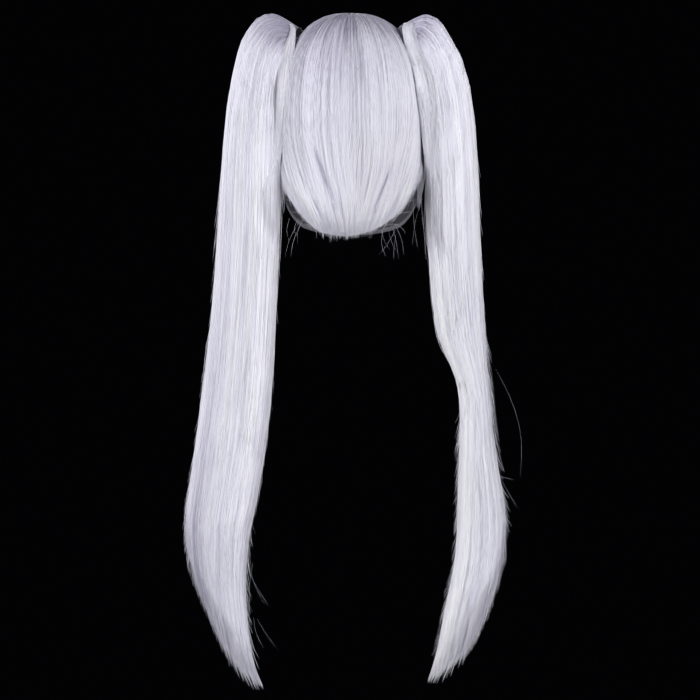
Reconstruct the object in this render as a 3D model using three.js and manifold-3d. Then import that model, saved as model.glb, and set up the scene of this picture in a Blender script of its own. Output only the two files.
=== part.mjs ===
// Pigtail wig: a cap with an elastic edge, crown hair, a fringe, two side locks and two long tied tails.
// Millimetres, +Z up, the face side towards -Y. The origin is the inside top of the cap.
import * as THREE from 'three';
import { mergeVertices } from 'three/addons/utils/BufferGeometryUtils.js';
import Module from 'manifold-3d';

const wasm = await Module();
wasm.setup();

// The hollow that the head fills
const headWidth = 143;
const headDepth = 186;
const crownRise = 109; // from the widest level up to the inside of the crown
const capDepth = 214; // from the inside of the crown down to the rim at the nape
const profilePower = 2.5; // superellipse power of the oval seen from behind
const planPower = 2.1; // superellipse power of the oval seen from above
const sideTaper = 0.02; // share of the width lost between the widest level and the rim
const napeTaper = 0.2; // share of the depth lost between the widest level and the rim

// Cap, its elastic edge and the fit between pieces
const capWall = 1.6;
const bandWall = 2;
const bandHeight = 5;
const fitGap = 0.3;

// Crown hair, measured out from the hollow
const hairOverTop = 13;
const hairOverSide = 7.5;
const hairOverBack = 9;
const crownGroove = 1.5;
const combFade = 0.4; // level where the combed grooves reach their full depth
const napeGather = 0.75; // how far the combing closes towards the nape
const gatherStart = 0.95; // level where it begins to close
const gatherEase = 1.5; // power by which it closes
const napeLockWidth = 13;
const napeLockThick = 3.4;
const napeLockSink = 0.9; // how far the nape's tips lie under the hair's outside
const napeLean = -0.12; // how far they turn in from their place, as a share of their turn

// Fringe and side locks, which lie on the crown hair
const lockLift = 0.9; // from the crown hair's outside to the underside of a lock at its rings
const fringeWidth = 19; // of one lock at its broadest
const fringeThick = 5;
const fringeDrop = 128; // from the inside of the crown down to the longest tip
const fringeLean = 0.08; // how far the locks spread towards their tips, as a share of their turn
const sideLockWidth = 16;
const sideLockThick = 6;
const sideLockDrop = 205;

// The taper of every lock on the crown
const lockRootThick = 0.2; // share of its thickness at the root
const lockFull = 0.32; // share of its length where it reaches its thickness
const lockTaper = 5; // power by which it tapers
const lockTipThin = 0.85; // share of its thickness lost at the tip
const lockTipNarrow = 0.8; // likewise, of its width

// Tails, one record for each side: side is +1 on the wearer's left
const leftTail = { side: 1, arch: 12, length: 751, reach: 184, thickness: 42, sweep: 40 };
const rightTail = { side: -1, arch: 11, length: 771, reach: 180, thickness: 42, sweep: 30 };
const archLean = 5; // how far the top of a tail's arch leans away from the head
const tailGroove = 2.2;
const grooveLimit = 0.25; // most of a thin section's half thickness that a groove takes
const archGroove = 0.55; // share of the groove's depth over the arch
const tailPower = 2.3; // superellipse power of a tail's section
const rootHeight = 0.78; // level of a tail's root on the crown, as a share of the crown's rise
const rootBack = 8; // how far behind the crown's middle the roots sit
const neckRadius = 8.5;
const neckSink = 4; // how deep a tail's neck sits in the crown hair
const neckReach = 16; // how far it runs out into the tail
const tieWire = 1.8; // radius of the elastic's round section

// Mesh fineness
const tailSteps = 2;
const archTilts = [22, 45, 68]; // degrees from the top of a tail's arch
const capTurns = 24;
const capLevels = [0.14, 0.28, 0.42, 0.57, 0.72, 0.86, 1, 1.35, 1.7, 2, 2.2];
const combLevels = [0.12, 0.27, 0.44, 0.62, 0.8, 1, 1.25, 1.5, 1.75, 2, 2.2];
const shellEnd = 2.3; // level where a shell ends before its edge is cut
const hollowEnd = 2.4; // level where the solid that opens it ends
const lockRings = 5;
const tieTurns = 16;
const tieSides = 6;

// How the edge lines move when they are raised, about square to their slope
const edgeLift = { back: 0.575, up: 1 };

// Edge lines seen from the side. back: share of half the head's depth. down: share of the cap's depth.
const rimLine = [
  { back: 1.35, down: 1.02 },
  { back: 0.95, down: 1.01 },
  { back: 0.645, down: 0.967 },
  { back: 0.36, down: 0.89 },
  { back: 0.11, down: 0.846 },
  { back: -0.09, down: 0.8 },
  { back: -0.32, down: 0.705 },
  { back: -0.52, down: 0.565 },
  { back: -0.69, down: 0.411 },
  { back: -0.88, down: 0.28 },
  { back: -1.05, down: 0.22 },
  { back: -1.35, down: 0.196 },
];
const hairLine = [
  { back: 1.35, down: 1.0 },
  { back: 0.9, down: 0.985 },
  { back: 0.81, down: 0.945 },
  { back: 0.66, down: 0.86 },
  { back: 0.52, down: 0.8 },
  { back: 0.32, down: 0.75 },
  { back: 0.11, down: 0.715 },
  { back: -0.09, down: 0.68 },
  { back: -0.3, down: 0.6 },
  { back: -0.48, down: 0.485 },
  { back: -0.65, down: 0.355 },
  { back: -0.84, down: 0.245 },
  { back: -1.02, down: 0.2 },
  { back: -1.35, down: 0.18 },
];

// Relative widths of the combed locks round the crown and round a tail
const crownLocks = [1, 0.75, 1.2, 0.85, 1.1, 0.7, 1.25, 0.9, 1, 0.8, 1.15, 0.7, 1.1, 0.95, 1.2, 0.8];
const tailLocks = [1, 0.7, 1.3, 0.85, 1.15, 0.75, 1.2, 0.95];
// Profile of one combed lock. along: share of its width. sunk: share of the groove's depth.
const lockProfile = [
  { along: 0, sunk: 1 },
  { along: 0.32, sunk: 0.1 },
  { along: 0.7, sunk: 0.15 },
];

// Sections down a tail. drop: share of its length. near, far: edges, as shares of its reach.
// back: share of its sweep. thick: share of its thickness.
const leftSections = [
  { drop: 0.02, near: 0.31, far: 0.586, back: 0.33, thick: 0.86 },
  { drop: 0.036, near: 0.325, far: 0.627, back: 0.4, thick: 0.9 },
  { drop: 0.064, near: 0.365, far: 0.667, back: 0.5, thick: 0.93 },
  { drop: 0.12, near: 0.408, far: 0.716, back: 0.54, thick: 0.97 },
  { drop: 0.205, near: 0.41, far: 0.755, back: 0.61, thick: 1 },
  { drop: 0.32, near: 0.418, far: 0.79, back: 0.7, thick: 1 },
  { drop: 0.435, near: 0.445, far: 0.83, back: 0.81, thick: 1 },
  { drop: 0.523, near: 0.465, far: 0.877, back: 0.9, thick: 1 },
  { drop: 0.612, near: 0.503, far: 0.929, back: 0.98, thick: 1 },
  { drop: 0.703, near: 0.567, far: 0.984, back: 1, thick: 0.95 },
  { drop: 0.749, near: 0.609, far: 1, back: 1, thick: 0.88 },
  { drop: 0.811, near: 0.639, far: 0.98, back: 1, thick: 0.76 },
  { drop: 0.86, near: 0.64, far: 0.915, back: 1, thick: 0.6 },
  { drop: 0.915, near: 0.625, far: 0.79, back: 0.98, thick: 0.3 },
];
const rightSections = [
  { drop: 0.02, near: 0.3, far: 0.558, back: 0.42, thick: 0.86 },
  { drop: 0.034, near: 0.32, far: 0.606, back: 0.46, thick: 0.9 },
  { drop: 0.061, near: 0.369, far: 0.66, back: 0.46, thick: 0.93 },
  { drop: 0.116, near: 0.419, far: 0.724, back: 0.41, thick: 0.97 },
  { drop: 0.199, near: 0.447, far: 0.761, back: 0.32, thick: 1 },
  { drop: 0.313, near: 0.465, far: 0.789, back: 0.08, thick: 1 },
  { drop: 0.42, near: 0.51, far: 0.825, back: -0.28, thick: 1.02 },
  { drop: 0.465, near: 0.556, far: 0.842, back: -0.4, thick: 1.08 },
  { drop: 0.503, near: 0.632, far: 0.86, back: -0.52, thick: 1.14 },
  { drop: 0.545, near: 0.69, far: 0.884, back: -0.65, thick: 1.15 },
  { drop: 0.615, near: 0.693, far: 0.918, back: -0.82, thick: 1.1 },
  { drop: 0.708, near: 0.684, far: 0.984, back: -0.91, thick: 0.98 },
  { drop: 0.755, near: 0.685, far: 1, back: -0.94, thick: 0.88 },
  { drop: 0.819, near: 0.676, far: 0.988, back: -0.97, thick: 0.76 },
  { drop: 0.872, near: 0.62, far: 0.92, back: -0.99, thick: 0.62 },
  { drop: 0.925, near: 0.585, far: 0.8, back: -0.97, thick: 0.3 },
];
// Lock tips along the slanting cut. from: place across the tail where the lock leaves it.
// reach, drop: where it ends. back: its own share of the tail's thickness off the middle.
const leftTips = [
  { from: 0.9, reach: 0.866, drop: 0.9, back: -0.12 },
  { from: 0.8, reach: 0.808, drop: 0.935, back: 0.1 },
  { from: 0.7, reach: 0.757, drop: 0.957, back: -0.08 },
  { from: 0.58, reach: 0.707, drop: 0.968, back: 0.12 },
  { from: 0.46, reach: 0.66, drop: 0.981, back: -0.1 },
  { from: 0.34, reach: 0.612, drop: 0.99, back: 0.08 },
  { from: 0.22, reach: 0.568, drop: 0.997, back: -0.06 },
  { from: 0.1, reach: 0.538, drop: 1, back: 0.05 },
];
const rightTips = [
  { from: 0.9, reach: 0.84, drop: 0.922, back: 0.12 },
  { from: 0.8, reach: 0.785, drop: 0.95, back: -0.1 },
  { from: 0.68, reach: 0.727, drop: 0.966, back: 0.1 },
  { from: 0.56, reach: 0.675, drop: 0.972, back: -0.12 },
  { from: 0.44, reach: 0.625, drop: 0.982, back: 0.08 },
  { from: 0.32, reach: 0.575, drop: 0.993, back: -0.1 },
  { from: 0.2, reach: 0.53, drop: 0.998, back: 0.06 },
  { from: 0.08, reach: 0.5, drop: 1, back: -0.05 },
];
const tipStart = 0.78; // share of the tail's length where the tip locks leave its body
const tipSpread = 0.8; // share of the tail's width there over which they leave it
const tipBow = 0.55; // share of its own length that a tip lock hangs straight before it turns
const tipWidth = 0.3; // of one tip lock, as a share of the tail's width there
const tipThick = 0.4; // likewise, of its thickness
const tipTaper = 0.8; // share of both lost towards its end

// Fringe locks. turn: degrees from the middle of the face. tip: share of the fringe's drop.
const fringeLocks = [
  { turn: -46, tip: 0.97 },
  { turn: -36, tip: 0.9 },
  { turn: -26, tip: 0.96 },
  { turn: -15.5, tip: 0.88 },
  { turn: -5, tip: 0.95 },
  { turn: 5.5, tip: 0.87 },
  { turn: 16, tip: 0.95 },
  { turn: 26, tip: 0.9 },
  { turn: 36.5, tip: 1 },
  { turn: 46, tip: 0.93 },
];
// Side locks. turn: degrees from the middle of the face. tip: share of the side locks' drop.
const templeLocks = [
  { turn: 64, tip: 0.8 },
  { turn: 71, tip: 1 },
  { turn: 78, tip: 0.9 },
];
// Tips at the nape. turn: degrees from the middle of the back. tip: share of the cap's depth.
const napeLocks = [
  { turn: 38, tip: 0.965 },
  { turn: 29, tip: 0.975 },
  { turn: 20, tip: 1.0 },
  { turn: 12, tip: 1.028 },
  { turn: 4, tip: 1.02 },
  { turn: -4, tip: 1.0 },
  { turn: -12, tip: 1.005 },
  { turn: -20, tip: 0.998 },
  { turn: -29, tip: 1.03 },
  { turn: -38, tip: 0.972 },
];
const fringeStart = 0.4; // level of the fringe's roots, from 0 at the crown to 1 at the widest level
const templeStart = 0.62;
const napeStart = 1.72;

const vec = (x, y, z) => new THREE.Vector3(x, y, z);
const mix = (a, b, t) => a + (b - a) * t;
const radians = (degrees) => THREE.MathUtils.degToRad(degrees);
const power = (value, exponent) => Math.sign(value) * Math.abs(value) ** exponent;

function solidOf(geometry) {
  const bare = geometry.clone();
  bare.deleteAttribute('normal');
  bare.deleteAttribute('uv');
  const merged = mergeVertices(bare, 1e-4);
  const vertProperties = new Float32Array(merged.attributes.position.array);
  const triVerts = new Uint32Array(merged.index.array);
  return new wasm.Manifold(new wasm.Mesh({ numProp: 3, vertProperties, triVerts }));
}

// Six times the volume that a closed triangle list holds, negative when its faces point inwards.
function signedVolume(points, faces) {
  let sum = 0;
  for (const [a, b, c] of faces) sum += points[a].dot(vec().crossVectors(points[b], points[c]));
  return sum;
}

function solidFromFaces(points, faces) {
  const outward = signedVolume(points, faces) > 0;
  const index = faces.flatMap(([a, b, c]) => (outward ? [a, b, c] : [a, c, b]));
  const geometry = new THREE.BufferGeometry().setFromPoints(points);
  geometry.setIndex(index);
  return solidOf(geometry);
}

// A closed solid through rings of equal count, each end closed on the middle of its ring.
function loft(rings, firstEnd = middleOf(rings[0]), lastEnd = middleOf(rings.at(-1))) {
  const count = rings[0].length;
  const points = [...rings.flat(), firstEnd, lastEnd];
  const first = points.length - 2;
  const last = points.length - 1;
  const lastRing = (rings.length - 1) * count;
  const faces = [];
  for (let i = 0; i < count; i += 1) {
    const next = (i + 1) % count;
    faces.push([first, next, i], [last, lastRing + i, lastRing + next]);
    for (let r = 0; r < lastRing; r += count) {
      faces.push([r + i, r + next, r + count + next], [r + i, r + count + next, r + count + i]);
    }
  }
  return solidFromFaces(points, faces);
}

function middleOf(ring) {
  const sum = vec(0, 0, 0);
  for (const point of ring) sum.add(point);
  return sum.divideScalar(ring.length);
}

// Catmull-Rom value of one column of a table at a place counted in rows.
function along(table, place, column) {
  const row = Math.min(Math.floor(place), table.length - 2);
  const value = (i) => table[THREE.MathUtils.clamp(i, 0, table.length - 1)][column];
  const t = place - row;
  const [a, b, c, d] = [value(row - 1), value(row), value(row + 1), value(row + 2)];
  return b + 0.5 * t * (c - a + t * (2 * a - 5 * b + 4 * c - d + t * (3 * (b - c) + d - a)));
}

// Shares of a full turn at which combed locks have their profile's points, with how far each is sunk.
function combedTurns(widths) {
  const total = widths.reduce((sum, width) => sum + width, 0);
  const turns = [];
  let start = 0;
  for (const width of widths) {
    for (const { along: share, sunk } of lockProfile) {
      turns.push({ turn: ((start + share * width) / total) * 2 * Math.PI, sunk });
    }
    start += width;
  }
  return turns;
}

// Half sizes of the head's form when it is grown by these lengths.
function grownForm(overSide, overBack = overSide, overTop = overSide) {
  return { wide: headWidth / 2 + overSide, deep: headDepth / 2 + overBack, rise: crownRise + overTop };
}

// A point of the form. turn: 0 at the back, growing towards +X. level: 0 at the crown, 1 at the
// widest level and 2 at the rim's depth. sunk: how far the point lies inside the form.
function formPoint(form, turn, level, sunk = 0) {
  const below = Math.max(level - 1, 0);
  const tilt = Math.min(level, 1) * (Math.PI / 2);
  const spread = Math.sin(tilt) ** (2 / profilePower);
  const wide = form.wide * spread * (1 - sideTaper * below ** 2) - sunk;
  const deep = form.deep * spread * (1 - napeTaper * below ** 2) - sunk;
  const height = form.rise * Math.cos(tilt) ** (2 / profilePower) * (below > 0 ? 0 : 1);
  return vec(
    wide * power(Math.sin(turn), 2 / planPower),
    deep * power(Math.cos(turn), 2 / planPower),
    height - crownRise - below * (capDepth - crownRise),
  );
}

// The form as a solid that runs on below the rim, so that a smaller one opens it.
function formSolid(form, lowest) {
  const rings = [...capLevels, lowest].map((level) =>
    Array.from({ length: capTurns }, (_, i) => formPoint(form, (i / capTurns) * 2 * Math.PI, level)),
  );
  return loft(rings, vec(0, 0, form.rise - crownRise));
}

// Everything below and in front of an edge line, as a block across the head. The line can be raised.
function edgeCutter(line, raise = 0) {
  const halfDepth = headDepth / 2;
  const lift = new THREE.Vector2(edgeLift.back, edgeLift.up).multiplyScalar(raise);
  const points = line.map(({ back, down }) =>
    new THREE.Vector2(back * halfDepth, -down * capDepth).add(lift),
  );
  const far = 2 * headDepth;
  const shape = new THREE.Shape();
  shape.moveTo(far, points[0].y);
  shape.lineTo(points[0].x, points[0].y);
  shape.splineThru(points.slice(1));
  shape.lineTo(-far, points.at(-1).y);
  shape.lineTo(-far, -2 * capDepth);
  shape.lineTo(far, -2 * capDepth);
  const width = 2 * headWidth;
  const block = new THREE.ExtrudeGeometry(shape, { depth: width, bevelEnabled: false, curveSegments: 2 });
  block.translate(0, 0, -width / 2);
  block.applyMatrix4(new THREE.Matrix4().makeBasis(vec(0, 1, 0), vec(0, 0, 1), vec(1, 0, 0)));
  return solidOf(block);
}

function capSolid() {
  const shell = formSolid(grownForm(capWall), shellEnd).subtract(formSolid(grownForm(0), hollowEnd));
  return shell.subtract(edgeCutter(rimLine, bandHeight + fitGap));
}

// The elastic edge carries the cap's wall on down to the rim.
function bandSolid(clear = 0) {
  const outside = formSolid(grownForm(bandWall + clear), shellEnd);
  const shell = outside.subtract(formSolid(grownForm(-clear), hollowEnd));
  return shell.intersect(edgeCutter(rimLine, bandHeight + clear)).subtract(edgeCutter(rimLine, -clear));
}

const hairForm = grownForm(hairOverSide, hairOverBack, hairOverTop);

// The combing runs down from the crown and closes in towards the nape.
function combedTurn(turn, level) {
  const half = turn > Math.PI ? turn - 2 * Math.PI : turn;
  const closed = THREE.MathUtils.clamp((level - gatherStart) / (2 - gatherStart), 0, 1);
  const gather = napeGather * closed ** gatherEase;
  return half * (1 - gather * (1 - (half / Math.PI) ** 2));
}

// The combed outside of the crown hair; grown for the space that it needs.
function combedCrown(clear = 0) {
  const form = grownForm(hairOverSide + clear, hairOverBack + clear, hairOverTop + clear);
  const turns = combedTurns(crownLocks);
  const rings = combLevels.map((level) => {
    const fade = THREE.MathUtils.smoothstep(level, 0, combFade);
    return turns.map(({ turn, sunk }) =>
      formPoint(form, combedTurn(turn, level), level, sunk * crownGroove * fade),
    );
  });
  return loft(rings, vec(0, 0, form.rise - crownRise));
}

// A tapering lock with a six-sided section. place(s) gives its centre, width, thickness and the
// directions across and out, for s from 0 at the root to 1 at the tip.
function lockSolid(place, steps = lockRings) {
  const corners = [
    [-0.5, 0],
    [-0.25, 0.5],
    [0.25, 0.5],
    [0.5, 0],
    [0.25, -0.5],
    [-0.25, -0.5],
  ];
  const rings = Array.from({ length: steps }, (_, i) => {
    const { centre, across, out, width, thick } = place(i / steps);
    return corners.map(([side, lift]) =>
      centre.clone().addScaledVector(across, side * width).addScaledVector(out, lift * thick),
    );
  });
  return loft(rings, undefined, place(1).centre);
}

// A lock that lies on the crown hair: from one level to another at a turn, lifted off the form.
function formLock({ turn, from, to, width, thick, lift, lean = 0 }) {
  return lockSolid((s) => {
    const level = mix(from, to, s);
    const swell = Math.min(mix(lockRootThick, 1, s / lockFull), 1) * (1 - s ** lockTaper * lockTipThin);
    const raised = lift + (thick * swell) / 2;
    const form = grownForm(hairOverSide + raised, hairOverBack + raised, hairOverTop + raised);
    const here = turn + lean * s;
    const centre = formPoint(form, here, level);
    const across = formPoint(form, here + 0.05, level).sub(formPoint(form, here - 0.05, level)).normalize();
    const down = formPoint(form, here, level + 0.03).sub(formPoint(form, here, level - 0.03)).normalize();
    const out = vec().crossVectors(down, across).normalize();
    const narrow = 1 - s ** lockTaper * lockTipNarrow;
    return { centre, across, out, width: width * narrow, thick: thick * swell };
  });
}

// The level of a depth below the inside of the crown, past the widest level.
const levelOfDrop = (drop) => 1 + (drop - crownRise) / (capDepth - crownRise);

const joined = (solids) => wasm.Manifold.union(solids);

function napeTips() {
  return napeLocks.map(({ turn, tip }) =>
    formLock({
      turn: radians(turn),
      from: napeStart,
      to: levelOfDrop(tip * capDepth),
      width: napeLockWidth,
      thick: napeLockThick,
      lift: -napeLockThick - napeLockSink,
      lean: radians(turn) * napeLean,
    }),
  );
}

function rootOf(tail) {
  const tilt = Math.acos(rootHeight ** (profilePower / 2));
  const level = tilt / (Math.PI / 2);
  const wide = hairForm.wide * Math.sin(tilt) ** (2 / profilePower);
  const spot = vec(tail.side * wide, rootBack, formPoint(hairForm, 0, level).z);
  const gradient = (value, half) => value ** (profilePower - 1) / half ** profilePower;
  const slope = vec(tail.side * gradient(wide, hairForm.wide), 0, 0);
  slope.z = gradient(spot.z + crownRise, hairForm.rise);
  return { spot, out: slope.normalize() };
}

// A round bar from one distance to another along a tail's root direction.
function neckBar(tail, radius, from, to, endRadius = radius) {
  const { spot, out } = rootOf(tail);
  const bar = new THREE.CylinderGeometry(endRadius, radius, to - from, tieTurns);
  bar.applyQuaternion(new THREE.Quaternion().setFromUnitVectors(vec(0, 1, 0), out));
  const middle = spot.clone().addScaledVector(out, (from + to) / 2);
  bar.translate(middle.x, middle.y, middle.z);
  return solidOf(bar);
}

// The elastic round a tail's neck, just clear of the crown hair; grown for the space it needs.
function tieSolid(tail, grown = 0) {
  const { spot, out } = rootOf(tail);
  const ring = new THREE.TorusGeometry(neckRadius + fitGap + tieWire, tieWire + grown, tieSides, tieTurns);
  ring.applyQuaternion(new THREE.Quaternion().setFromUnitVectors(vec(0, 0, 1), out));
  const middle = spot.clone().addScaledVector(out, tieWire + 2 * fitGap);
  ring.translate(middle.x, middle.y, middle.z);
  return solidOf(ring);
}

function crownHair() {
  const tips = joined(napeTips());
  let hair = combedCrown().subtract(edgeCutter(hairLine)).add(tips);
  hair = hair.subtract(formSolid(grownForm(capWall + fitGap), hollowEnd)).subtract(bandSolid(fitGap));
  for (const tail of [leftTail, rightTail]) {
    hair = hair.subtract(neckBar(tail, neckRadius + fitGap, -neckSink - fitGap, neckReach));
  }
  return hair;
}

// Where a tail's section lies at a place in its table.
function tailSection(tail, table, place) {
  const near = along(table, place, 'near') * tail.reach;
  const far = along(table, place, 'far') * tail.reach;
  return {
    middle: vec(
      (tail.side * (near + far)) / 2,
      along(table, place, 'back') * tail.sweep,
      tail.arch - along(table, place, 'drop') * tail.length,
    ),
    halfWide: (far - near) / 2,
    halfThick: (along(table, place, 'thick') * tail.thickness) / 2,
  };
}

function tailRing({ middle, halfWide, halfThick }, groove) {
  return combedTurns(tailLocks).map(({ turn, sunk }) =>
    vec(
      middle.x + (halfWide - sunk * groove) * power(Math.cos(turn), 2 / tailPower),
      middle.y + (halfThick - sunk * groove) * power(Math.sin(turn), 2 / tailPower),
      middle.z,
    ),
  );
}

// The rounded arch over the root, then the sections of the table.
function tailBody(tail, table) {
  const rings = [];
  const top = tailSection(tail, table, 0);
  const rise = tail.arch - top.middle.z;
  for (const tilt of archTilts.map(radians)) {
    const shrink = Math.sin(tilt);
    const middle = top.middle.clone().setZ(top.middle.z + rise * Math.cos(tilt));
    middle.x += tail.side * archLean * (1 - shrink);
    const section = { middle, halfWide: top.halfWide * shrink, halfThick: top.halfThick * shrink };
    rings.push(tailRing(section, tailGroove * shrink * archGroove));
  }
  for (let place = 0; place <= table.length - 1; place += 1 / tailSteps) {
    const section = tailSection(tail, table, place);
    const groove = Math.min(tailGroove, section.halfThick * grooveLimit);
    rings.push(tailRing(section, place < 1 ? groove * archGroove : groove));
  }
  return loft(rings, vec(top.middle.x + tail.side * archLean, top.middle.y, tail.arch));
}

// The place in a table, counted in rows, of a share of the tail's length.
function placeOf(table, drop) {
  const row = Math.max(table.findIndex((section) => section.drop > drop) - 1, 0);
  return row + (drop - table[row].drop) / (table[row + 1].drop - table[row].drop);
}

function tipLock(tail, table, { from, reach, drop, back }) {
  const start = tailSection(tail, table, placeOf(table, tipStart));
  const root = start.middle.clone();
  root.x += tail.side * (from * 2 - 1) * start.halfWide * tipSpread;
  root.y += back * 2 * start.halfThick;
  const tip = vec(tail.side * reach * tail.reach, root.y, tail.arch - drop * tail.length);
  const bow = vec(root.x, root.y, mix(root.z, tip.z, tipBow));
  const path = new THREE.QuadraticBezierCurve3(root, bow, tip);
  return lockSolid((s) => ({
    centre: path.getPoint(s),
    across: vec(1, 0, 0),
    out: vec(0, 1, 0),
    width: 2 * start.halfWide * tipWidth * (1 - s ** 2 * tipTaper),
    thick: 2 * start.halfThick * tipThick * (1 - s ** 1.5 * tipTaper),
  }));
}

function pigtail(tail, table, tips) {
  const locks = tips.map((tip) => tipLock(tail, table, tip));
  let hair = joined([tailBody(tail, table), ...locks]);
  hair = hair.subtract(combedCrown(fitGap)).subtract(tieSolid(tail, fitGap));
  return hair.add(neckBar(tail, neckRadius, -neckSink, neckReach));
}

function fringe() {
  const locks = fringeLocks.map(({ turn, tip }) =>
    formLock({
      turn: Math.PI + radians(turn),
      from: fringeStart,
      to: levelOfDrop(tip * fringeDrop),
      width: fringeWidth,
      thick: fringeThick,
      lift: lockLift,
      lean: radians(turn) * fringeLean,
    }),
  );
  return joined(locks).subtract(combedCrown(fitGap));
}

function sideLock(side) {
  const locks = templeLocks.map(({ turn, tip }) =>
    formLock({
      turn: Math.PI - side * radians(turn),
      from: templeStart,
      to: levelOfDrop(tip * sideLockDrop),
      width: sideLockWidth,
      thick: sideLockThick,
      lift: lockLift,
    }),
  );
  return joined(locks).subtract(combedCrown(fitGap));
}

function finish(color, roughness) {
  return new THREE.MeshStandardMaterial({ color, roughness, metalness: 0 });
}

function meshOf(name, solid, material) {
  const { numProp, vertProperties, triVerts } = solid.getMesh();
  const positions = [];
  for (let i = 0; i < vertProperties.length; i += numProp) positions.push(...vertProperties.slice(i, i + 3));
  const geometry = new THREE.BufferGeometry();
  geometry.setAttribute('position', new THREE.Float32BufferAttribute(positions, 3));
  geometry.setIndex(Array.from(triVerts));
  geometry.computeVertexNormals();
  const mesh = new THREE.Mesh(geometry, material);
  mesh.name = name;
  return mesh;
}

const hairColor = 0xd7d5e2;
const netColor = 0x8f8d96;
const bandColor = 0xa9a7b0;
const tieColor = 0x26242a;

const group = new THREE.Group();
group.add(
  meshOf('cap', capSolid(), finish(netColor, 0.8)),
  meshOf('cap_band', bandSolid(), finish(bandColor, 0.7)),
  meshOf('crown_hair', crownHair(), finish(hairColor, 0.45)),
  meshOf('fringe', fringe(), finish(hairColor, 0.45)),
  meshOf('side_lock_left', sideLock(1), finish(hairColor, 0.45)),
  meshOf('side_lock_right', sideLock(-1), finish(hairColor, 0.45)),
  meshOf('tie_left', tieSolid(leftTail), finish(tieColor, 0.6)),
  meshOf('tie_right', tieSolid(rightTail), finish(tieColor, 0.6)),
  meshOf('pigtail_left', pigtail(leftTail, leftSections, leftTips), finish(hairColor, 0.45)),
  meshOf('pigtail_right', pigtail(rightTail, rightSections, rightTips), finish(hairColor, 0.45)),
);

export default group;
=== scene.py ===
import bpy
import numpy as np
from math import pi, radians, tau
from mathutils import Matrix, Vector


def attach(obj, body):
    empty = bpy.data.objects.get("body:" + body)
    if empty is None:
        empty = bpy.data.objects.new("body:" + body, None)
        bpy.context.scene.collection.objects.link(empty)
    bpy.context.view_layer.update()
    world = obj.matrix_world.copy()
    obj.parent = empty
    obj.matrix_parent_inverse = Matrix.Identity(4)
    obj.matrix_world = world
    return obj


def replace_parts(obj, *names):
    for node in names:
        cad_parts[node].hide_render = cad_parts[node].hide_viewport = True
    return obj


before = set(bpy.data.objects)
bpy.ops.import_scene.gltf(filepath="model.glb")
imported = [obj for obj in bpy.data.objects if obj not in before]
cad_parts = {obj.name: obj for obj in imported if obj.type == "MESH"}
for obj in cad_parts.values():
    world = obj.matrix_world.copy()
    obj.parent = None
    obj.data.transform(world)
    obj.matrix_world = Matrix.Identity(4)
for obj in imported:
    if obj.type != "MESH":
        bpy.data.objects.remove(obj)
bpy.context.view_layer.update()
scene = bpy.context.scene
print("frame loaded")


def records(names, *rows):
    # a record for each row of values
    return [dict(zip(names.split(), row)) for row in rows]


# the head's form and the hair over it, in metres, as in the solids
head = {
    "width": 0.143,
    "depth": 0.186,
    "rise": 0.109,
    "depth of cap": 0.214,
    "side taper": 0.02,
    "nape taper": 0.2,
}
profilePower = 2.5
planPower = 2.1
hairOver = {"side": 0.0075, "back": 0.009, "top": 0.013}
gather = {"share": 0.64, "start": 0.95, "ease": 1.5}
levelFall = head["depth of cap"] - head["rise"]  # metres to a level below the widest place

# edge lines seen from the side; back: share of half the head's depth, down: share of the cap's depth
rimLine = records(
    "back down",
    (-1.35, 0.196),
    (-1.05, 0.22),
    (-0.88, 0.28),
    (-0.69, 0.411),
    (-0.52, 0.565),
    (-0.32, 0.705),
    (-0.09, 0.8),
    (0.11, 0.846),
    (0.36, 0.89),
    (0.645, 0.967),
    (0.95, 1.01),
    (1.35, 1.02),
)
hairLine = records(
    "back down",
    (-1.35, 0.18),
    (-1.02, 0.2),
    (-0.84, 0.245),
    (-0.65, 0.355),
    (-0.48, 0.485),
    (-0.3, 0.6),
    (-0.09, 0.68),
    (0.11, 0.715),
    (0.32, 0.75),
    (0.52, 0.8),
    (0.66, 0.86),
    (0.81, 0.945),
    (0.9, 0.985),
    (1.35, 1.0),
)


# small helpers


def column(rows, name):
    return np.array([row[name] for row in rows], float)


def smoothRows(values, place):
    # Catmull-Rom through a table's column at places counted in rows
    values = np.asarray(values, float)
    last = len(values) - 1
    row = np.clip(np.floor(place).astype(int), 0, last - 1)
    t = place - row
    if values.ndim > 1:
        t = t.reshape(t.shape + (1,) * (values.ndim - 1))
    a, b, c, d = (values[np.clip(row + step, 0, last)] for step in (-1, 0, 1, 2))
    return b + 0.5 * t * (c - a + t * (2 * a - 5 * b + 4 * c - d + t * (3 * (b - c) + d - a)))


def curveThrough(knots, steps):
    # strands (strands, steps, 3) through rows of knots (rows, strands, 3)
    places = np.linspace(0, len(knots) - 1, steps)
    return np.stack([smoothRows(knots, np.full(1, place))[0] for place in places], 1)


def drift(x, seed):
    # smooth noise along one axis, from -1 to 1
    table = np.random.default_rng(seed).uniform(-1, 1, 512)
    cell = np.floor(x).astype(int)
    t = x - cell
    t = t * t * (3 - 2 * t)
    return table[cell % 512] * (1 - t) + table[(cell + 1) % 512] * t


def ripple(x, y, seed):
    # smooth noise over two axes, from -1 to 1
    x, y = np.broadcast_arrays(x, y)
    table = np.random.default_rng(seed).uniform(-1, 1, (256, 256))
    i, j = np.floor(x).astype(int), np.floor(y).astype(int)
    s, t = x - i, y - j
    s, t = s * s * (3 - 2 * s), t * t * (3 - 2 * t)
    near = table[i % 256, j % 256] * (1 - s) + table[(i + 1) % 256, j % 256] * s
    far = table[i % 256, (j + 1) % 256] * (1 - s) + table[(i + 1) % 256, (j + 1) % 256] * s
    return near * (1 - t) + far * t


def mix(a, b, t):
    return a + (b - a) * t


def ease(x, low, high):
    t = np.clip((x - low) / (high - low), 0, 1)
    return t * t * (3 - 2 * t)


def bump(x, middle, width):
    return np.exp(-(((x - middle) / width) ** 2))


def bowed(value, power):
    return np.sign(value) * np.abs(value) ** power


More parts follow.
